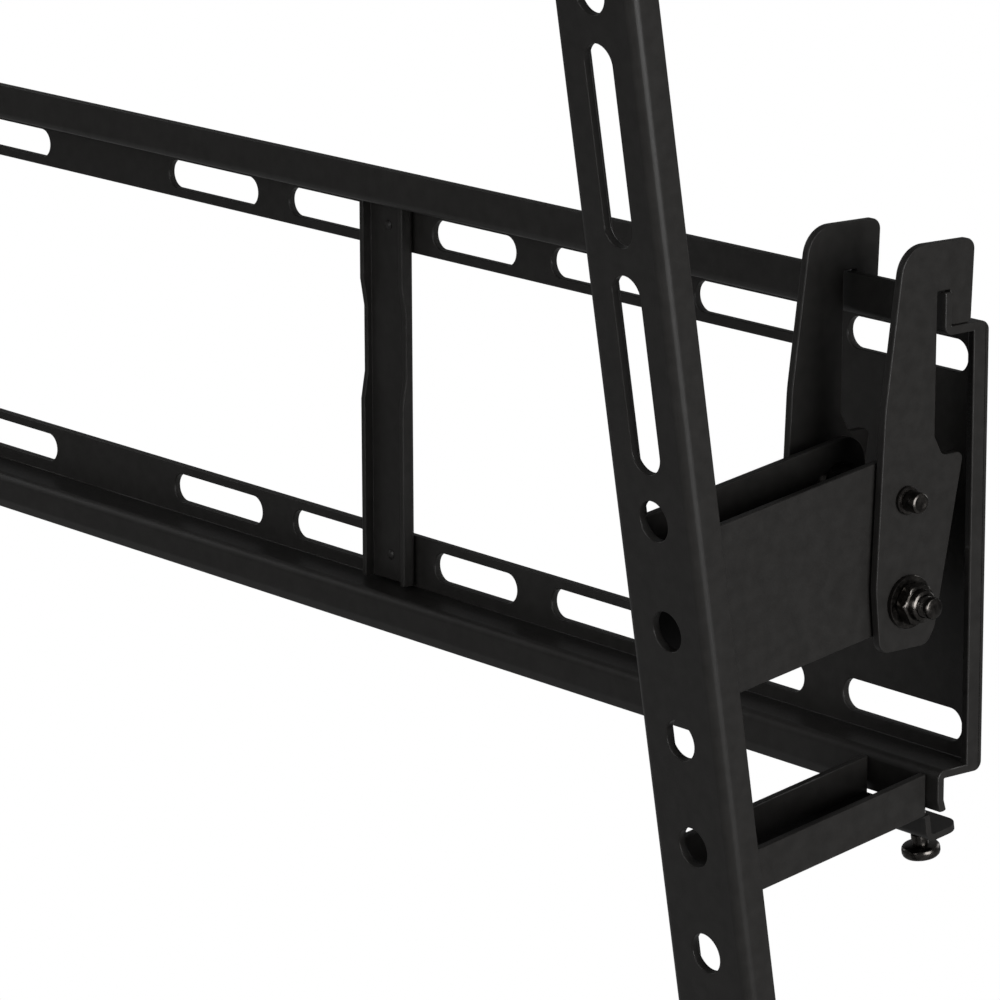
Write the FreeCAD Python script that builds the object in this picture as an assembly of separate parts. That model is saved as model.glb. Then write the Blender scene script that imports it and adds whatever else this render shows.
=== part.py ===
import FreeCAD, Part
import math
import os

from FreeCAD import Vector

# Tilting wall mount for a flat screen: a folded wall plate, and two brackets that hang on its top lip.
# Frame in mm: X along the wall plate, +Y into the wall, Z up, origin on the wall at the plate's centre.

# Wall plate, one folded sheet
plate_length = 662.6
plate_sheet = 2.0
plate_depth = 13.2
plate_height = 101.6
lip_height = 7.6
lip_flare = 0.8
lip_flare_height = 2.6
plate_bend = 0.2
end_flange_depth = 4.6
end_corner = 0.4

# Long window of the wall plate
window_band = 15.1
window_end_web = 52.0
window_corner = 8.0

# Lag slots in two rows, the same in each half of the plate
slot_row_below_flange = 9.0
slot_height = 7.25
slot_bare_centre = 27.4
slot_long = 38.8
slot_short = 32.3
slot_bridge = 13.3
slot_upright_bridge = 26.3

# Uprights across the window, riveted to both rows
upright_place = 122.5
upright_width = 17.0
upright_sheet = 1.5
upright_depth = 4.1
upright_bend = 0.2
upright_end_gap = 0.3
waist_depth = 1.2
waist_top = 20.6
waist_bottom = 4.1
waist_taper = 7.0
rivet_head = 2.8
rivet_head_height = 0.6
rivet_shank = 2.0
rivet_fit = 0.05

# Brackets: place along the plate and pose
bracket_inset = 16.75
tilt = 8.82
pivot_out = 22.5
pivot_height = -8.7

# Screen rail, one folded sheet with two pairs of ears set inside it
rail_length = 429.0
rail_width = 26.0
rail_flange = 7.6
rail_sheet = 2.0
rail_bend = 0.6
rail_end_corner = 3.0
screw_hole = 9.0
screw_pitch = 25.0
screw_count = 5
rail_slot_length = 43.8
rail_slot_bridge = 6.2
rail_slot_margin_above = 10.6
rail_slot_margin_below = 12.4
rail_slot_count = 3

# The pivot's place on the rail: behind its face and above its middle hole
pivot_behind_face = 56.8
pivot_above_middle = 16.05
ear_spread = 20.8
upper_ear_reach = 67.8
upper_ear_top = 48.1
upper_ear_bottom = 9.95
upper_ear_corner = 6.0
lower_ear_height = 9.55
lower_ear_below_lip_middle = 0.3
lip_rest_gap = 0.3
pin_fit = 0.05

# Hook plates
hook_sheet = 2.0
hook_gap_near = 0.7
hook_gap_far = 6.4
hook_above_lip = 11.2
hook_top_slope = 0.2
hook_top_front = 24.6
hook_top_corner = 7.0
hook_waist_front = 29.7
hook_waist_height = 34.0
hook_waist_curve = 40.0
hook_front = 31.7
hook_front_height = -5.0
hook_front_curve = 20.0
hook_bottom = -19.5
hook_bottom_front = 30.4
hook_bottom_rear = 16.5
hook_bottom_corner = 3.0
hook_rear = 3.9
hook_rear_corner = 2.5
finger_rear = 4.8
finger_gap = 0.0
finger_corner = 1.2
notch_front_gap = 1.6
notch_rear_gap = 0.1
notch_top_gap = 0.3
notch_corner = 0.3
strap_rear = 15.0
strap_bottom = 26.8
stop_top = 22.4
stop_top_front = 12.6
stop_rear = 6.3
stop_corner = 1.6
stop_foot_rear = 14.1
stop_foot_height = -15.9
stop_foot_curve = 5.0

# Fasteners of a bracket
bolt_size = 6.0
bolt_fit = 0.1
bolt_head_across = 10.0
bolt_head_height = 4.0
bolt_tip = 4.3
bolt_chamfer = 0.7
washer_size = 12.6
washer_sheet = 1.2
nut_across = 10.0
nut_height = 4.6
stud_size = 5.4
stud_out = 23.2
stud_height = 14.0
stud_tip = 3.7
stud_chamfer = 0.5
ring_size = 7.0
ring_sheet = 1.1
spacer_size = 9.6
spacer_play = 0.3
arc_slot_play = 0.3

# Lock under the lower ears
lock_sheet = 1.5
lock_bend = 0.8
lock_drop = 6.5
lock_tab_length = 9.8
lock_tab_corner = 4.0
lock_floor_length = 45.0
lock_window_width = 11.0
lock_window_front = 4.0
lock_window_dip = 1.2
lock_window_corner = 1.6
lock_screw_behind_leg = 6.2
lock_screw_size = 4.0
lock_screw_fit = 0.1
lock_screw_head = 8.8
lock_screw_head_height = 3.3
lock_screw_neck = 4.8
lock_screw_length = 10.0
lock_screw_edge = 0.8

# Places worked out from the sizes
flange_top = plate_height / 2
lip_top = flange_top + lip_height
lip_middle = flange_top + lip_height / 2
lip_front = -plate_depth
window_height = plate_height - 2 * window_band
slot_row_height = flange_top - slot_row_below_flange
bracket_place = plate_length / 2 - bracket_inset
ear_inner = ear_spread / 2 - rail_sheet
hook_inner = (ear_spread + hook_gap_near + hook_gap_far) / 2
hook_outer = hook_inner + hook_sheet
rail_shift = (hook_gap_far - hook_gap_near) / 2
pivot_y = -pivot_out
stud_y = -stud_out


def corner_wire(corners, place):
    """Close a wire through corners (a, b, radius); place turns (a, b) into a point in space."""
    stations = []
    for index, (a, b, radius) in enumerate(corners):
        corner = Vector(a, b, 0)
        before = corners[index - 1]
        after = corners[(index + 1) % len(corners)]
        back = (Vector(before[0], before[1], 0) - corner).normalize()
        ahead = (Vector(after[0], after[1], 0) - corner).normalize()
        if radius <= 0:
            stations.append((corner, None, corner))
            continue
        half = back.getAngle(ahead) / 2
        run = radius / math.tan(half)
        crown = (back + ahead).normalize() * (radius / math.sin(half) - radius)
        stations.append((corner + back * run, corner + crown, corner + ahead * run))
    edges = []
    for index, (start, crown, end) in enumerate(stations):
        if crown is not None:
            points = [place(point.x, point.y) for point in (start, crown, end)]
            edges.append(Part.Arc(*points).toShape())
        following = stations[(index + 1) % len(stations)][0]
        if end.distanceToPoint(following) > 1e-6:
            edges.append(Part.LineSegment(place(end.x, end.y), place(following.x, following.y)).toShape())
    return Part.Wire(edges)


def across(corners, x_from, x_to):
    """A solid with a side outline in Y and Z, from one X to another."""
    wire = corner_wire(corners, lambda a, b: Vector(x_from, a, b))
    return Part.Face(wire).extrude(Vector(x_to - x_from, 0, 0))


def upward(corners, z_from, z_to):
    """A solid with a plan outline in X and Y, from one Z to another."""
    wire = corner_wire(corners, lambda a, b: Vector(a, b, z_from))
    return Part.Face(wire).extrude(Vector(0, 0, z_to - z_from))


def through(corners, y_from, y_to):
    """A solid with a front outline in X and Z, from one Y to another."""
    wire = corner_wire(corners, lambda a, b: Vector(a, y_from, b))
    return Part.Face(wire).extrude(Vector(0, y_to - y_from, 0))


def folded(path, sheet, bend):
    """Corners of a folded sheet's section along its middle line, with this inner bend radius."""
    points = [Vector(a, b, 0) for a, b in path]
    left = []
    right = []
    for index, point in enumerate(points):
        arriving = (point - points[index - 1]).normalize() if index > 0 else None
        leaving = (points[index + 1] - point).normalize() if index < len(points) - 1 else None
        arriving = arriving or leaving
        leaving = leaving or arriving
        normal_in = Vector(-arriving.y, arriving.x, 0)
        normal_out = Vector(-leaving.y, leaving.x, 0)
        mitre = (normal_in + normal_out) * (sheet / 2 / (1 + normal_in.dot(normal_out)))
        turn = arriving.cross(leaving).z
        inner = bend if abs(turn) > 1e-9 else 0
        outer = bend + sheet if abs(turn) > 1e-9 else 0
        left_radius, right_radius = (inner, outer) if turn > 0 else (outer, inner)
        left.append(((point + mitre).x, (point + mitre).y, left_radius))
        right.append(((point - mitre).x, (point - mitre).y, right_radius))
    return left + right[::-1]


def rounded_box(a_centre, b_centre, a_size, b_size, radius):
    a_half = a_size / 2
    b_half = b_size / 2
    signs = ((-1, -1), (1, -1), (1, 1), (-1, 1))
    return [(a_centre + s * a_half, b_centre + t * b_half, radius) for s, t in signs]


def rod(x_from, x_to, y, z, diameter):
    return Part.makeCylinder(diameter / 2, x_to - x_from, Vector(x_from, y, z), Vector(1, 0, 0))


def ring(x_from, x_to, y, z, outer, inner):
    return rod(x_from, x_to, y, z, outer).cut(rod(x_from, x_to, y, z, inner))


def hexagon(x_from, x_to, y, z, across_flats):
    reach = across_flats / math.sqrt(3)
    angles = [math.radians(60 * step) for step in range(6)]
    corners = [(y + reach * math.cos(angle), z + reach * math.sin(angle), 0) for angle in angles]
    return across(corners, x_from, x_to)


def slot_spans():
    """Start and end of each lag slot of the right half, from the middle outward."""
    spans = []
    start = slot_bare_centre
    lengths = (slot_long, slot_short, slot_short, slot_long, slot_long, slot_long)
    bridges = (slot_bridge, slot_upright_bridge, slot_bridge, slot_bridge, slot_bridge, 0)
    for length, bridge in zip(lengths, bridges):
        spans.append((start, start + length))
        start += length + bridge
    return spans


def wall_plate():
    half = plate_length / 2
    front = lip_front + plate_sheet / 2
    web = -plate_sheet / 2
    flange = flange_top - plate_sheet / 2
    path = [
        (front + lip_flare, -lip_top),
        (front, -lip_top + lip_flare_height),
        (front, -flange),
        (web, -flange),
        (web, flange),
        (front, flange),
        (front, lip_top),
    ]
    plate = across(folded(path, plate_sheet, plate_bend), -half, half)

    # Each end is closed by a low wall between the two flanges
    reach = flange_top - plate_sheet
    for side in (-1, 1):
        place = side * (half - plate_sheet / 2)
        wall = rounded_box(place, -end_flange_depth / 2, plate_sheet, end_flange_depth, 0)
        plate = plate.fuse(upward(wall, -reach, reach))
    plan = rounded_box(0, -plate_depth, plate_length, 2 * plate_depth, end_corner)
    plate = plate.common(upward(plan, -lip_top, lip_top))

    window = rounded_box(0, 0, plate_length - 2 * window_end_web, window_height, window_corner)
    cuts = [through(window, -plate_depth, 1)]
    for start, end in slot_spans():
        for side in (-1, 1):
            for row in (-slot_row_height, slot_row_height):
                slot = rounded_box(side * (start + end) / 2, row, end - start, slot_height, slot_height / 2)
                cuts.append(through(slot, -plate_sheet - 0.5, 0.5))
    for side in (-1, 1):
        for row in (-slot_row_height, slot_row_height):
            hole = Part.makeCylinder(
                rivet_shank / 2 + rivet_fit,
                plate_sheet + 2,
                Vector(side * upright_place, -plate_sheet - 1, row),
                Vector(0, 1, 0),
            )
            cuts.append(hole)
    return plate.cut(cuts).removeSplitter()


def upright(side):
    half = upright_width / 2 - upright_sheet / 2
    back = -plate_sheet - upright_sheet / 2
    front = -plate_sheet - upright_depth
    place = side * upright_place
    path = [(place - half, front), (place - half, back), (place + half, back), (place + half, front)]
    reach = flange_top - plate_sheet - plate_bend - upright_end_gap
    channel = upward(folded(path, upright_sheet, upright_bend), -reach, reach)

    # Both flanges are waisted, so that the hooks' stops slide past
    waist = [
        (front - 1, waist_top + waist_taper, 0),
        (front, waist_top + waist_taper, 0),
        (front + waist_depth, waist_top, 0),
        (front + waist_depth, waist_bottom, 0),
        (front, waist_bottom - waist_taper, 0),
        (front - 1, waist_bottom - waist_taper, 0),
    ]
    channel = channel.cut(across(waist, place - upright_width, place + upright_width))
    for row in (-slot_row_height, slot_row_height):
        hole = Part.makeCylinder(
            rivet_shank / 2 + rivet_fit,
            upright_depth,
            Vector(place, front, row),
            Vector(0, 1, 0),
        )
        channel = channel.cut(hole)
    return channel


def upright_rivet(side, row):
    face = -plate_sheet - upright_sheet
    place = side * upright_place
    head_radius = rivet_head / 2
    dome_radius = (head_radius ** 2 + rivet_head_height ** 2) / (2 * rivet_head_height)
    dome = Part.makeSphere(dome_radius, Vector(place, face - rivet_head_height + dome_radius, row))
    keep = Part.makeCylinder(
        head_radius + 1, rivet_head_height + 1, Vector(place, face, row), Vector(0, -1, 0)
    )
    shank = Part.makeCylinder(rivet_shank / 2, -face, Vector(place, face, row), Vector(0, 1, 0))
    return dome.common(keep).fuse(shank).removeSplitter()


def pose(shape, x_centre):
    """Turn a piece from the rail's own frame, middle hole at the origin, to its place on the pivot."""
    shape.translate(Vector(0, -pivot_behind_face, -pivot_above_middle))
    shape.rotate(Vector(0, 0, 0), Vector(1, 0, 0), tilt)
    shape.translate(Vector(x_centre, pivot_y, pivot_height))
    return shape


def in_rail_frame(y, z):
    """Distance behind the rail's face and above its middle hole of a point of the standing mount."""
    angle = math.radians(tilt)
    out = y - pivot_y
    up = z - pivot_height
    behind = out * math.cos(angle) + up * math.sin(angle) + pivot_behind_face
    above = up * math.cos(angle) - out * math.sin(angle) + pivot_above_middle
    return behind, above


def lip_line(above):
    """Where an ear end that rests on the bottom lip stops, this far above the middle hole."""
    angle = math.radians(tilt)
    behind, level = in_rail_frame(lip_front - lip_rest_gap, 0)
    return behind + (above - level) * math.tan(angle)


def lower_ear_levels():
    """Top and bottom of the lower ears, which rest on the bottom lip."""
    middle = in_rail_frame(lip_front, -lip_middle)[1] - lower_ear_below_lip_middle
    return middle + lower_ear_height / 2, middle - lower_ear_height / 2


def screen_rail(x_centre):
    side = rail_width / 2 - rail_sheet / 2
    path = [(-side, rail_flange), (-side, rail_sheet / 2), (side, rail_sheet / 2), (side, rail_flange)]
    rail = upward(folded(path, rail_sheet, rail_bend), -rail_length / 2, rail_length / 2)
    front = rounded_box(0, 0, rail_width, rail_length, rail_end_corner)
    rail = rail.common(through(front, -1, rail_flange + 1))

    root = rail_sheet / 2
    lower_ear_top, lower_ear_bottom = lower_ear_levels()
    upper = [
        (root, upper_ear_bottom, 0),
        (upper_ear_reach, upper_ear_bottom, upper_ear_corner),
        (upper_ear_reach, upper_ear_top, upper_ear_corner),
        (root, upper_ear_top, 0),
    ]
    lower = [
        (root, lower_ear_bottom, 0),
        (lip_line(lower_ear_bottom), lower_ear_bottom, 0),
        (lip_line(lower_ear_top), lower_ear_top, 0),
        (root, lower_ear_top, 0),
    ]
    ears = []
    for outline in (upper, lower):
        ears.append(across(outline, -ear_spread / 2, -ear_inner))
        ears.append(across(outline, ear_inner, ear_spread / 2))
    rail = rail.fuse(ears).removeSplitter()

    cuts = []
    for index in range(screw_count):
        above = (index - (screw_count - 1) / 2) * screw_pitch
        cuts.append(Part.makeCylinder(screw_hole / 2, rail_sheet + 2, Vector(0, -1, above), Vector(0, 1, 0)))
    last_hole = (screw_count - 1) / 2 * screw_pitch
    for end, margin in ((1, rail_slot_margin_above), (-1, rail_slot_margin_below)):
        for index in range(rail_slot_count):
            away = last_hole + margin + rail_slot_length / 2 + index * (rail_slot_length + rail_slot_bridge)
            slot = rounded_box(0, end * away, screw_hole, rail_slot_length, screw_hole / 2)
            cuts.append(through(slot, -1, rail_sheet + 1))

    # Pivot hole and arc slot through both upper ears
    cuts.append(rod(-rail_width, rail_width, pivot_behind_face, pivot_above_middle, bolt_size + 2 * pin_fit))
    cuts.append(arc_slot())
    return pose(rail.cut(cuts), x_centre)


def arc_slot():
    """Curved slot round the pivot that lets the stud pass as the rail stands up."""
    radius = math.hypot(stud_y - pivot_y, stud_height - pivot_height)
    half_width = stud_size / 2 + arc_slot_play
    behind, above = in_rail_frame(stud_y, stud_height)
    start = math.atan2(above - pivot_above_middle, behind - pivot_behind_face)
    end = start + math.radians(tilt)
    middle = (start + end) / 2
    overrun = half_width / radius

    def at(reach, angle):
        y = pivot_behind_face + reach * math.cos(angle)
        z = pivot_above_middle + reach * math.sin(angle)
        return Vector(-rail_width, y, z)

    outer = radius + half_width
    inner = radius - half_width
    arcs = [
        (at(outer, start), at(outer, middle), at(outer, end)),
        (at(outer, end), at(radius, end + overrun), at(inner, end)),
        (at(inner, end), at(inner, middle), at(inner, start)),
        (at(inner, start), at(radius, start - overrun), at(outer, start)),
    ]
    wire = Part.Wire([Part.Arc(*points).toShape() for points in arcs])
    return Part.Face(wire).extrude(Vector(2 * rail_width, 0, 0))


def lock_places():
    """Middle of the lock's leg behind the rail's face, and middles of its floor and its tab."""
    leg = in_rail_frame(lip_front, -lip_top)[0]
    floor = lower_ear_levels()[1] + lock_sheet / 2
    return leg, floor, floor - lock_drop


def lock_plate(x_centre):
    leg, floor, tab = lock_places()
    ear_bottom = floor - lock_sheet / 2
    path = [(leg - lock_floor_length, floor), (leg, floor), (leg, tab), (leg + lock_tab_length, tab)]
    plate = across(folded(path, lock_sheet, lock_bend), -ear_spread / 2, ear_spread / 2)
    plan = rounded_box(0, 0, ear_spread, 2 * (leg + lock_tab_length), lock_tab_corner)
    plate = plate.common(upward(plan, tab - lock_sheet, floor + lock_sheet))

    # The floor lies between the ears, and a window is cut through its fold into the leg
    for side in (-1, 1):
        beside = rounded_box(side * (ear_inner + rail_sheet), 0, 2 * rail_sheet, 4 * leg, 0)
        plate = plate.cut(upward(beside, ear_bottom, floor + lock_sheet))
    window = rounded_box(0, leg, lock_window_width, 2 * lock_window_front, lock_window_corner)
    hole = Part.makeCylinder(
        lock_screw_size / 2 + lock_screw_fit,
        2 * lock_sheet,
        Vector(0, leg + lock_screw_behind_leg, tab - lock_sheet),
    )
    window_cut = upward(window, ear_bottom - lock_window_dip, floor + lock_sheet)
    return pose(plate.cut([window_cut, hole]).removeSplitter(), x_centre)


def lock_screw(x_centre):
    leg, floor, tab = lock_places()
    axis = leg + lock_screw_behind_leg
    head_top = tab - lock_sheet / 2 - lock_screw_neck
    radius = lock_screw_head / 2
    edge = lock_screw_edge
    base = head_top - lock_screw_head_height
    tip = head_top + lock_screw_length
    shank = lock_screw_size / 2
    chamfer = shank / 4
    profile = [
        (0, base),
        (radius - edge, base),
        (radius, base + edge),
        (radius, head_top - edge / 2),
        (radius - edge / 2, head_top),
        (shank, head_top),
        (shank, tip - chamfer),
        (shank - chamfer, tip),
        (0, tip),
    ]
    points = [Vector(out, axis, up) for out, up in profile]
    face = Part.Face(Part.makePolygon(points + points[:1]))
    return pose(face.revolve(Vector(0, axis, 0), Vector(0, 0, 1), 360), x_centre)


def hook_plate(x_from):
    lip_back = lip_front + plate_sheet
    finger_bottom = flange_top + finger_gap
    notch_front = lip_front - notch_front_gap
    notch_rear = lip_back + notch_rear_gap
    notch_top = lip_top + notch_top_gap
    hook_top = lip_top + hook_above_lip
    outline = [
        (-hook_top_front, hook_top, hook_top_corner),
        (-hook_rear, hook_top - hook_top_slope, hook_rear_corner),
        (-finger_rear, finger_bottom, finger_corner),
        (notch_rear, finger_bottom, finger_corner),
        (notch_rear, notch_top, notch_corner),
        (notch_front, notch_top, notch_corner),
        (-strap_rear, strap_bottom, stop_corner),
        (-stop_top_front, stop_top, stop_corner),
        (-stop_rear, stop_top, stop_corner),
        (-stop_foot_rear, stop_foot_height, stop_foot_curve),
        (-hook_bottom_rear, hook_bottom, hook_bottom_corner),
        (-hook_bottom_front, hook_bottom, hook_bottom_corner),
        (-hook_front, hook_front_height, hook_front_curve),
        (-hook_waist_front, hook_waist_height, hook_waist_curve),
    ]
    plate = across(outline, x_from, x_from + hook_sheet)
    for y, z, size in ((pivot_y, pivot_height, bolt_size), (stud_y, stud_height, stud_size)):
        plate = plate.cut(rod(x_from - 1, x_from + hook_sheet + 1, y, z, size + 2 * bolt_fit))
    return plate


def pivot_bolt(x_centre):
    head_face = x_centre - hook_outer - washer_sheet
    tip = x_centre + hook_outer + washer_sheet + nut_height + bolt_tip
    shank = rod(head_face, tip, pivot_y, pivot_height, bolt_size)
    shank = shank.makeChamfer(bolt_chamfer, [edge for edge in shank.Edges if edge.BoundBox.XMin > tip - 0.1])
    head = hexagon(head_face - bolt_head_height, head_face, pivot_y, pivot_height, bolt_head_across)
    return head.fuse(shank).removeSplitter()


def pivot_nut(x_centre):
    seat = x_centre + hook_outer + washer_sheet
    nut = hexagon(seat, seat + nut_height, pivot_y, pivot_height, nut_across)
    return nut.cut(rod(seat, seat + nut_height, pivot_y, pivot_height, bolt_size + 2 * bolt_fit))


def pivot_washers(x_centre):
    bore = bolt_size + 2 * bolt_fit
    washers = []
    for side in (-1, 1):
        outer = sorted(x_centre + side * place for place in (hook_outer, hook_outer + washer_sheet))
        washers.append(ring(outer[0], outer[1], pivot_y, pivot_height, washer_size, bore))
    return Part.makeCompound(washers)


def stop_stud(x_centre):
    reach = hook_outer + ring_sheet + stud_tip
    stud = rod(x_centre - reach, x_centre + reach, stud_y, stud_height, stud_size)
    ends = [edge for edge in stud.Edges if edge.BoundBox.XLength < 0.1]
    return stud.makeChamfer(stud_chamfer, ends)


def stud_rings(x_centre):
    bore = stud_size + 2 * bolt_fit
    rings = []
    for side in (-1, 1):
        span = sorted(x_centre + side * place for place in (hook_outer, hook_outer + ring_sheet))
        rings.append(ring(span[0], span[1], stud_y, stud_height, ring_size, bore))
    return Part.makeCompound(rings)


def stud_spacer(x_centre):
    reach = ear_inner - spacer_play
    bore = stud_size + 2 * bolt_fit
    return ring(x_centre - reach, x_centre + reach, stud_y, stud_height, spacer_size, bore)


nodes = {
    "wall_plate": wall_plate(),
    "right_upright": upright(1),
    "left_upright": upright(-1),
    "upright_rivets": Part.makeCompound(
        [upright_rivet(side, row) for side in (-1, 1) for row in (-slot_row_height, slot_row_height)]
    ),
}
for name, place in (("right", bracket_place), ("left", -bracket_place)):
    nodes[name + "_hook_a"] = hook_plate(place + hook_inner)
    nodes[name + "_hook_b"] = hook_plate(place - hook_outer)
    nodes[name + "_pivot_bolt"] = pivot_bolt(place)
    nodes[name + "_pivot_nut"] = pivot_nut(place)
    nodes[name + "_pivot_washers"] = pivot_washers(place)
    nodes[name + "_stop_stud"] = stop_stud(place)
    nodes[name + "_stud_rings"] = stud_rings(place)
    nodes[name + "_stud_spacer"] = stud_spacer(place + rail_shift)
    nodes[name + "_screen_rail"] = screen_rail(place + rail_shift)
    nodes[name + "_lock_plate"] = lock_plate(place + rail_shift)
    nodes[name + "_lock_screw"] = lock_screw(place + rail_shift)

os.makedirs("parts", exist_ok=True)
for name, shape in nodes.items():
    shape.exportStep("parts/" + name + ".step")
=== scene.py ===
import math

import bmesh
import bpy
from mathutils import Matrix, Vector


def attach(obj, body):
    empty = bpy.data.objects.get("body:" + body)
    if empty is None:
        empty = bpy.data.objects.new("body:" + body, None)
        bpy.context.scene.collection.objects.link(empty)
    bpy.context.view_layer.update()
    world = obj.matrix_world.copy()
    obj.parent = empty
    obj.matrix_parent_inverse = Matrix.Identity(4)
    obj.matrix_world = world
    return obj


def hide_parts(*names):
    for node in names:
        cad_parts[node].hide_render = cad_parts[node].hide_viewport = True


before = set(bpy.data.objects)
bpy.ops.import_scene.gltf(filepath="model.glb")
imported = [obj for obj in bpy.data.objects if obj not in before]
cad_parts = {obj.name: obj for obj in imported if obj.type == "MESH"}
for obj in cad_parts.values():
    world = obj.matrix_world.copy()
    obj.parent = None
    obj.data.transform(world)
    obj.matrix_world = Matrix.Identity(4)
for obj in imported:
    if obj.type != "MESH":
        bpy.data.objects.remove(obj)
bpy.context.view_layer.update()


# Wall plate
# One long strip of 2 mm steel, pressed and folded to a shallow tray with a hooked lip above and
# below. It is slotted for the lag screws, and the rest of the mount hangs on it. Powder coated.
def linear(colour):
    """An sRGB hex colour as linear RGBA."""
    channels = [int(colour[i : i + 2], 16) / 255 for i in (1, 3, 5)]
    return [c / 12.92 if c <= 0.04045 else ((c + 0.055) / 1.055) ** 2.4 for c in channels] + [1]


def add_node(material, kind, inputs):
    """Adds a node, sets its inputs, and links each that is given another node's socket."""
    made = material.node_tree.nodes.new(kind)
    for name, value in inputs.items():
        if isinstance(value, bpy.types.NodeSocket):
            material.node_tree.links.new(value, made.inputs[name])
        else:
            made.inputs[name].default_value = value
    return made


# Black polyester powder coat, sprayed dry and baked. The powder melts to a satin skin with a fine
# pebble of about 0.35 mm and a slow swell of about 3 mm, so that lights spread over it softly.
pebble_width = 0.00035
swell_width = 0.003
powder_coat = bpy.data.materials.new("black_powder_coat")
powder_coat.use_nodes = True
powder_coat.node_tree.nodes.clear()
coat_place = add_node(powder_coat, "ShaderNodeTexCoord", {})
coat_pebble = add_node(
    powder_coat,
    "ShaderNodeTexNoise",
    {
        "Vector": coat_place.outputs["Object"],
        "Scale": 1 / pebble_width,
        "Detail": 2.0,
        "Roughness": 0.6,
    },
)
coat_swell = add_node(
    powder_coat,
    "ShaderNodeTexNoise",
    {
        "Vector": coat_place.outputs["Object"],
        "Scale": 1 / swell_width,
        "Detail": 3.0,
        "Roughness": 0.5,
    },
)
coat_colour = add_node(powder_coat, "ShaderNodeValToRGB", {"Fac": coat_swell.outputs["Fac"]})
coat_stops = coat_colour.color_ramp.elements
for stop, place, colour in zip(coat_stops, (0.3, 0.7), ("#1f1e1d", "#252423")):
    stop.position = place
    stop.color = linear(colour)
coat_gloss = add_node(
    powder_coat,
    "ShaderNodeMapRange",
    {
        "Value": coat_pebble.outputs["Fac"],
        "From Min": 0.3,
        "From Max": 0.7,
        "To Min": 0.3,
        "To Max": 0.42,
    },
)
coat_swell_bump = add_node(
    powder_coat,
    "ShaderNodeBump",
    {"Height": coat_swell.outputs["Fac"], "Distance": 0.00006, "Strength": 0.35},
)
coat_bump = add_node(
    powder_coat,
    "ShaderNodeBump",
    {
        "Height": coat_pebble.outputs["Fac"],
        "Normal": coat_swell_bump.outputs["Normal"],
        "Distance": 0.00004,
        "Strength": 0.5,
    },
)
coat_surface = add_node(
    powder_coat,
    "ShaderNodeBsdfPrincipled",
    {
        "Base Color": coat_colour.outputs["Color"],
        "Roughness": coat_gloss.outputs["Result"],
        "Normal": coat_bump.outputs["Normal"],
        "IOR": 1.5,
        "Specular IOR Level": 0.22,
    },
)
add_node(powder_coat, "ShaderNodeOutputMaterial", {"Surface": coat_surface.outputs["BSDF"]})


def soften_sheet(node, body, edge, clamp=False):
    """A sheet piece on the node's shape, with its outer edges rounded as the coat leaves them."""
    same_point = 0.000002
    flat_within = math.radians(0.4)
    sharp_beyond = math.radians(40)
    shape = bmesh.new()
    shape.from_mesh(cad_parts[node].data)
    bmesh.ops.remove_doubles(shape, verts=shape.verts, dist=same_point)
    bmesh.ops.dissolve_limit(
        shape,
        angle_limit=flat_within,
        verts=shape.verts,
        edges=shape.edges,
        use_dissolve_boundaries=False,
    )
    weight = shape.edges.layers.float.new("bevel_weight_edge")
    for line in shape.edges:
        if line.is_manifold and line.is_convex and line.calc_face_angle() > sharp_beyond:
            line[weight] = 1
    mesh = bpy.data.meshes.new(node + "_sheet")
    shape.to_mesh(mesh)
    shape.free()
    mesh.shade_smooth()
    mesh.materials.append(powder_coat)
    piece = bpy.data.objects.new(node + "_sheet", mesh)
    bpy.context.scene.collection.objects.link(piece)
    rounding = piece.modifiers.new("rounded edges", "BEVEL")
    rounding.width = edge
    rounding.segments = 2
    rounding.limit_method = "WEIGHT"
    rounding.use_clamp_overlap = clamp
    rounding.harden_normals = True
    flats = piece.modifiers.new("flat faces", "WEIGHTED_NORMAL")
    flats.mode = "FACE_AREA"
    flats.weight = 100
    flats.keep_sharp = True
    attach(piece, body)
    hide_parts(node)


soften_sheet("wall_plate", "wall", edge=0.00035)


# Uprights and their rivets
# Two pressed channels of 1.5 mm steel that stiffen the open middle of the wall plate. Each is held
# to the plate by one domed rivet above and one below, and coated with it.
for node in ("right_upright", "left_upright"):
    soften_sheet(node, "wall", edge=0.0003)
soften_sheet("upright_rivets", "wall", edge=0.0001)


# Hooks
# Two pairs of flat 2 mm steel plates, blanked to outline and powder coated. Each hangs on the
# plate's top lip by its notch and carries the pivot bolt and the stop stud.
for side in ("right", "left"):
    for end in ("a", "b"):
        soften_sheet(f"{side}_hook_{end}", f"{side}_hooks", edge=0.0003)


# Pivot bolts, nuts and washers
# A steel bolt through each pair of hooks and the rail's upper ears, with a washer under its head
# and one under its lock nut, which has a round collar. The rail tilts on it, and the nut sets how
# stiffly.

# Black zinc plating on steel, passivated and oiled. It is a thin dark metal film, so it mirrors the
# lamps in small sharp glints and stays black elsewhere, with a faint cloud of about 1.2 mm in it.
cloud_width = 0.0012
black_zinc = bpy.data.materials.new("black_zinc_plating")
black_zinc.use_nodes = True
black_zinc.node_tree.nodes.clear()
zinc_place = add_node(black_zinc, "ShaderNodeTexCoord", {})
zinc_film = add_node(
    black_zinc,
    "ShaderNodeTexNoise",
    {
        "Vector": zinc_place.outputs["Object"],
        "Scale": 1 / cloud_width,
        "Detail": 3.0,
        "Roughness": 0.6,
    },
)
zinc_colour = add_node(black_zinc, "ShaderNodeValToRGB", {"Fac": zinc_film.outputs["Fac"]})
zinc_stops = zinc_colour.color_ramp.elements
for stop, place, colour in zip(zinc_stops, (0.35, 0.7), ("#3b3937", "#575451")):
    stop.position = place
    stop.color = linear(colour)
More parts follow.
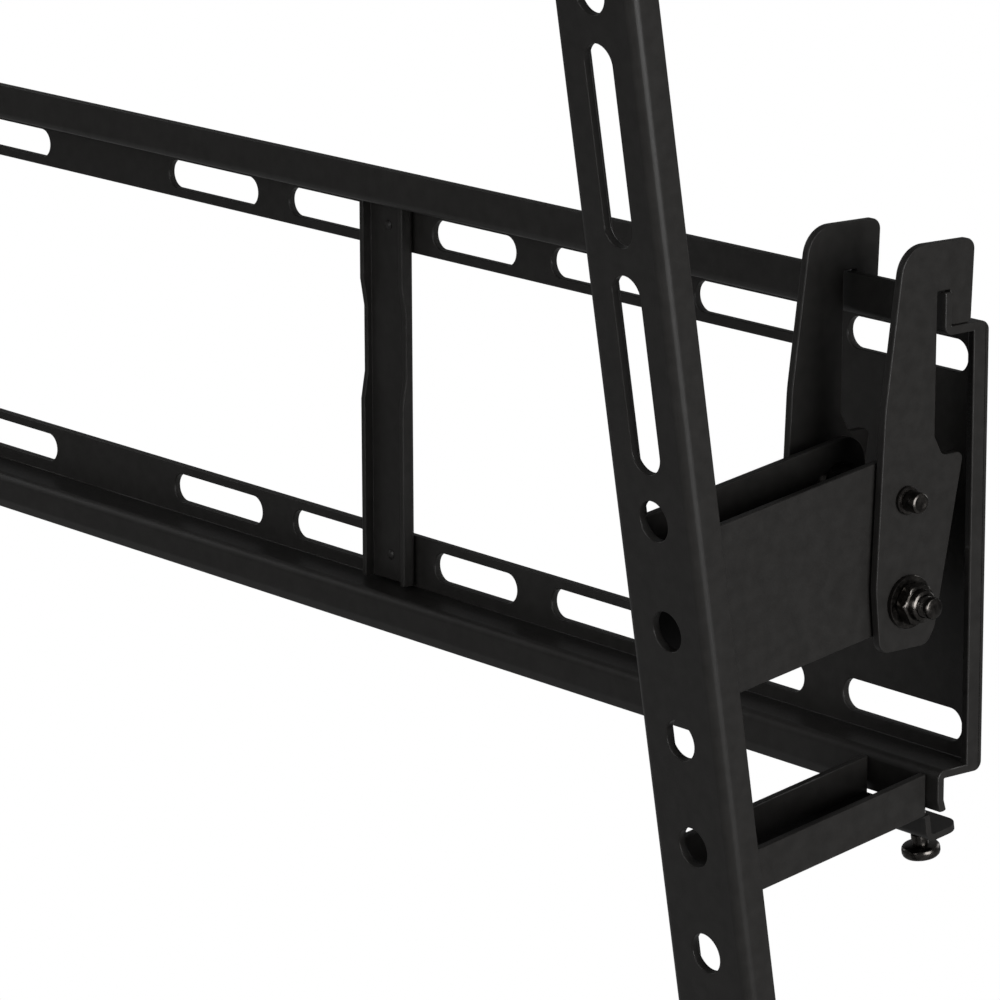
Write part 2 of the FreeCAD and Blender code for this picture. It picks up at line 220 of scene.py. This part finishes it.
zinc_gloss = add_node(
    black_zinc,
    "ShaderNodeMapRange",
    {
        "Value": zinc_film.outputs["Fac"],
        "From Min": 0.3,
        "From Max": 0.7,
        "To Min": 0.18,
        "To Max": 0.28,
    },
)
zinc_surface = add_node(
    black_zinc,
    "ShaderNodeBsdfPrincipled",
    {
        "Base Color": zinc_colour.outputs["Color"],
        "Roughness": zinc_gloss.outputs["Result"],
        "Metallic": 1.0,
    },
)
add_node(black_zinc, "ShaderNodeOutputMaterial", {"Surface": zinc_surface.outputs["BSDF"]})

# The points round a turned piece
TURNS = 48


def add_turned(shape, rows, seat, axis=(1, 0, 0), bored=False):
    """Adds a turned or hexagonal solid in mm: each row is a place along its axis and its radii."""
    lean = Vector((1, 0, 0)).rotation_difference(Vector(axis))
    lie = Matrix.Translation(seat) @ lean.to_matrix().to_4x4()
    loops = []
    for along, radii in rows:
        if not isinstance(radii, list):
            radii = [radii] * TURNS
        loop = []
        for step, radius in enumerate(radii):
            angle = 2 * math.pi * step / TURNS
            point = Vector((along, radius * math.cos(angle), radius * math.sin(angle))) / 1000
            loop.append(shape.verts.new(lie @ point))
        loops.append(loop)
    pairs = list(zip(loops, loops[1:]))
    if bored:
        pairs.append((loops[-1], loops[0]))
    else:
        shape.faces.new(loops[0])
        shape.faces.new(loops[-1])
    for near, far in pairs:
        for step in range(TURNS):
            after = (step + 1) % TURNS
            shape.faces.new((near[step], near[after], far[after], far[step]))


def place_fastener(shape, node, body):
    """Makes the piece that stands for a fastener's node from the solids added to the shape."""
    bmesh.ops.recalc_face_normals(shape, faces=shape.faces)
    mesh = bpy.data.meshes.new(node + "_turned")
    shape.to_mesh(mesh)
    shape.free()
    mesh.shade_smooth()
    mesh.set_sharp_from_angle(angle=math.radians(32))
    mesh.materials.append(black_zinc)
    piece = bpy.data.objects.new(node + "_turned", mesh)
    bpy.context.scene.collection.objects.link(piece)
    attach(piece, body)
    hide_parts(node)


# The bolt and nut in mm: radii of the shank and the point, the face that head and nut seat on, the
# head's height, and the width across flats of head and nut
BOLT = {"shank": 3.0, "point": 2.4, "seat": 17.15, "head": 4.0, "across": 8.4}


def hexagon_radii(most=math.inf):
    """Radii round the bolt's hexagon, with flats above and below, cut back to a cone's radius."""
    radii = []
    for step in range(TURNS):
        off = (360 * step / TURNS + 30) % 60 - 30
        radii.append(min(BOLT["across"] / 2 / math.cos(math.radians(30 - abs(off))), most))
    return radii


def threaded_rows(start, end, crest, pitch, chamfer):
    """Rows of a rolled thread that ends in a chamfer."""
    rows_in_a_turn = 8
    depth = 0.6 * pitch
    rows = []
    count = math.ceil((end - start) / pitch * rows_in_a_turn)
    for row in range(count + 1):
        along = start + (end - start) * row / count
        most = crest - max(0, along - (end - chamfer))
        radii = []
        for step in range(TURNS):
            phase = (along / pitch - step / TURNS) % 1
            radii.append(min(crest - depth * abs(2 * phase - 1), most))
        rows.append((along, radii))
    return rows


# Where each bracket's middle stands along the plate, and the pivot's depth and height, in m
BRACKETS = {"right": 0.31455, "left": -0.31455}
PIVOT = (-0.0225, -0.0087)

# The hooks' outer faces, from the bracket's middle, in mm
HOOK_FACE = 15.95
for side, place in BRACKETS.items():
    pivot = (place, *PIVOT)
    body = f"{side}_hooks"

    bolt = bmesh.new()
    shank = [(-BOLT["seat"], BOLT["shank"]), (21.0, BOLT["shank"]), (21.3, BOLT["point"])]
    thread = threaded_rows(start=21.6, end=23.2, crest=BOLT["point"], pitch=0.8, chamfer=0.2)
    point = [(23.4, BOLT["point"]), (24.3, BOLT["point"]), (24.55, 2.25), (24.7, 1.95)]
    add_turned(bolt, shank + thread + point, pivot)
    head_end = -BOLT["seat"] - BOLT["head"]
    head = [
        (head_end, hexagon_radii(3.8)),
        (head_end + 0.15, hexagon_radii(4.1)),
        (head_end + 0.7, hexagon_radii()),
        (-BOLT["seat"], hexagon_radii()),
    ]
    add_turned(bolt, head, pivot)
    place_fastener(bolt, f"{side}_pivot_bolt", body)

    nut = bmesh.new()
    hexagon = [
        (BOLT["seat"], BOLT["shank"]),
        (BOLT["seat"], hexagon_radii(4.0)),
        (17.35, hexagon_radii(4.4)),
        (17.7, hexagon_radii()),
        (19.6, hexagon_radii()),
        (19.9, hexagon_radii(4.5)),
        (20.05, hexagon_radii(4.2)),
    ]
    collar = [(20.1, 3.65), (21.1, 3.5), (21.5, 3.3), (21.7, 2.95)]
    bore = [(21.75, 2.6), (21.2, 2.6), (21.0, BOLT["shank"])]
    add_turned(nut, hexagon + collar + bore, pivot, bored=True)
    place_fastener(nut, f"{side}_pivot_nut", body)

    washers = bmesh.new()
    for end in (-1, 1):
        rim = [(HOOK_FACE, 3.1), (HOOK_FACE, 5.8), (16.05, 5.9), (17.03, 5.9)]
        rim += [(BOLT["seat"], 5.78), (BOLT["seat"], 3.1)]
        add_turned(washers, [(end * along, radius) for along, radius in rim], pivot, bored=True)
    place_fastener(washers, f"{side}_pivot_washers", body)


# Stop studs, rings and spacers
# A stepped steel stud through each pair of hooks stops the tilt in the ears' curved slots. A
# pressed ring holds it at each end, and a tube on it keeps the ears apart. All black zinc plated.

# The stud's depth and height, and how far the ears' middle stands to the right of the hooks', in m
STUD = (-0.0232, 0.014)
EARS_SHIFT = 0.00285
for side, place in BRACKETS.items():
    body = f"{side}_hooks"
    seat = (place, *STUD)
    stud = bmesh.new()
    half = [(16.9, 2.7), (17.0, 2.35), (20.2, 2.35), (20.5, 2.25)]
    half += [(20.7, 1.95), (20.75, 1.7), (20.6, 1.3)]
    add_turned(stud, [(-along, radius) for along, radius in reversed(half)] + half, seat)
    place_fastener(stud, f"{side}_stop_stud", body)

    rings = bmesh.new()
    for end in (-1, 1):
        rim = [(HOOK_FACE, 2.75), (HOOK_FACE, 3.05), (16.05, 3.15), (16.75, 3.15)]
        rim += [(17.0, 2.95), (17.05, 2.4), (16.9, 2.75)]
        add_turned(rings, [(end * along, radius) for along, radius in rim], seat, bored=True)
    place_fastener(rings, f"{side}_stud_rings", body)

    spacer = bmesh.new()
    tube = [(-8.1, 2.8), (-8.1, 4.5), (-7.8, 4.8), (7.8, 4.8), (8.1, 4.5), (8.1, 2.8)]
    add_turned(spacer, tube, (place + EARS_SHIFT, *STUD), bored=True)
    place_fastener(spacer, f"{side}_stud_spacer", body)


# Screen rails
# Two tall channels of 2 mm steel, punched for the screen's screws and powder coated. Two pairs of
# ears are welded inside each, the upper pair to the pivot and the lower pair to the bottom lip.
for side in BRACKETS:
    soften_sheet(f"{side}_screen_rail", f"{side}_rail", edge=0.00035)


# Lock plates
# A small plate of 1.5 mm steel, folded and fixed between each rail's lower ears. The tab at its end
# stands under the bottom lip and takes the lock screw. Its rounding is kept from overlapping itself
# where its faces are narrow.
for side in BRACKETS:
    soften_sheet(f"{side}_lock_plate", f"{side}_rail", edge=0.0003, clamp=True)


# Lock screws
# A steel thumb screw through the tab of each lock plate. Run in, its end stands behind the bottom
# lip and keeps the rail from lifting off. Its head is turned, and its thread is rolled.

# The screw's direction, and its neck's depth and height under the tab, in m
LOCK_AXIS = (0, -0.153331, 0.988175)
LOCK_NECK = (-0.005139, -0.069920)
for side, place in BRACKETS.items():
    screw = bmesh.new()
    head = [(-3.05, 3.5), (-2.95, 3.85), (-2.6, 4.2), (-2.1, 4.38), (-1.4, 4.4), (-0.85, 4.3)]
    head += [(-0.5, 4.05), (-0.3, 3.6), (-0.2, 3.0)]
    neck = [(-0.1, 1.95), (2.2, 1.95)]
    thread = threaded_rows(start=2.3, end=10.0, crest=2.0, pitch=0.7, chamfer=0.5)
    add_turned(screw, head + neck + thread, (place + EARS_SHIFT, *LOCK_NECK), LOCK_AXIS)
    place_fastener(screw, f"{side}_lock_screw", f"{side}_lock")


# Studio
# A white floor and backdrop that only the camera sees. A wide soft key light stands level on the
# right, weak fills stand in front, behind and on the left, and a low lamp gives what the floor
# returns.
studio_white = bpy.data.materials.new("studio_white")
studio_white.use_nodes = True
studio_white.node_tree.nodes.clear()
white_glow = add_node(studio_white, "ShaderNodeEmission", {"Color": (1, 1, 1, 1), "Strength": 1.0})
add_node(studio_white, "ShaderNodeOutputMaterial", {"Surface": white_glow.outputs["Emission"]})

floor_reach = 12
floor_level = -0.6
corners = [(-1, -1), (1, -1), (1, 1), (-1, 1)]
floor_mesh = bpy.data.meshes.new("floor")
floor_mesh.from_pydata(
    [(x * floor_reach, y * floor_reach, floor_level) for x, y in corners], [], [(0, 1, 2, 3)]
)
floor = bpy.data.objects.new("floor", floor_mesh)
backdrop_mesh = bpy.data.meshes.new("backdrop")
shell = bmesh.new()
bmesh.ops.create_icosphere(shell, subdivisions=3, radius=14)
shell.to_mesh(backdrop_mesh)
shell.free()
backdrop = bpy.data.objects.new("backdrop", backdrop_mesh)
for stage in (floor, backdrop):
    stage.data.materials.append(studio_white)
    bpy.context.scene.collection.objects.link(stage)
    stage.visible_diffuse = False
    stage.visible_glossy = False
    stage.visible_transmission = False
    stage.visible_shadow = False

world = bpy.data.worlds.new("studio")
world.use_nodes = True
surroundings = world.node_tree.nodes["Background"]
surroundings.inputs["Color"].default_value = (1, 1, 1, 1)
surroundings.inputs["Strength"].default_value = 0.12
bpy.context.scene.world = world
bpy.context.scene.view_settings.view_transform = "Standard"

# Each lamp's name, place and side in m, and power in W
lights = (
    ("key", (2.6, -0.2, 0.25), 1.4, 60),
    ("front fill", (0.3, -2.6, 0.6), 1.6, 23),
    ("left fill", (-2.6, -0.5, 0.8), 1.6, 8),
    ("back fill", (0.2, 2.6, 0.8), 1.6, 16),
    ("floor glow", (0.05, -0.05, -0.6), 4.0, 6.5),
)
for name, place, size, power in lights:
    lamp = bpy.data.lights.new(name, "AREA")
    lamp.size = size
    lamp.energy = power
    light = bpy.data.objects.new(name, lamp)
    light.matrix_world = Vector(place).to_track_quat("Z", "Y").to_matrix().to_4x4()
    light.location = place
    light.visible_camera = False
    bpy.context.scene.collection.objects.link(light)

# Camera
# The place, turn and lens that the photograph was taken with, for a square picture. It looks from
# the right, a little downward, with a long lens.
lens = bpy.data.cameras.new("camera")
lens.sensor_width = 36
lens.lens = 194.98
lens.clip_end = 100
camera = bpy.data.objects.new("camera", lens)
stand = Matrix.Translation((1.16138, -0.8037, 0.28897))
turn = Matrix.Rotation(math.radians(51.205), 4, "Z")
tip = Matrix.Rotation(math.radians(90 - 13.587), 4, "X")
roll = Matrix.Rotation(math.radians(-0.193), 4, "Z")
camera.matrix_world = stand @ turn @ tip @ roll
bpy.context.scene.collection.objects.link(camera)
bpy.context.scene.camera = camera
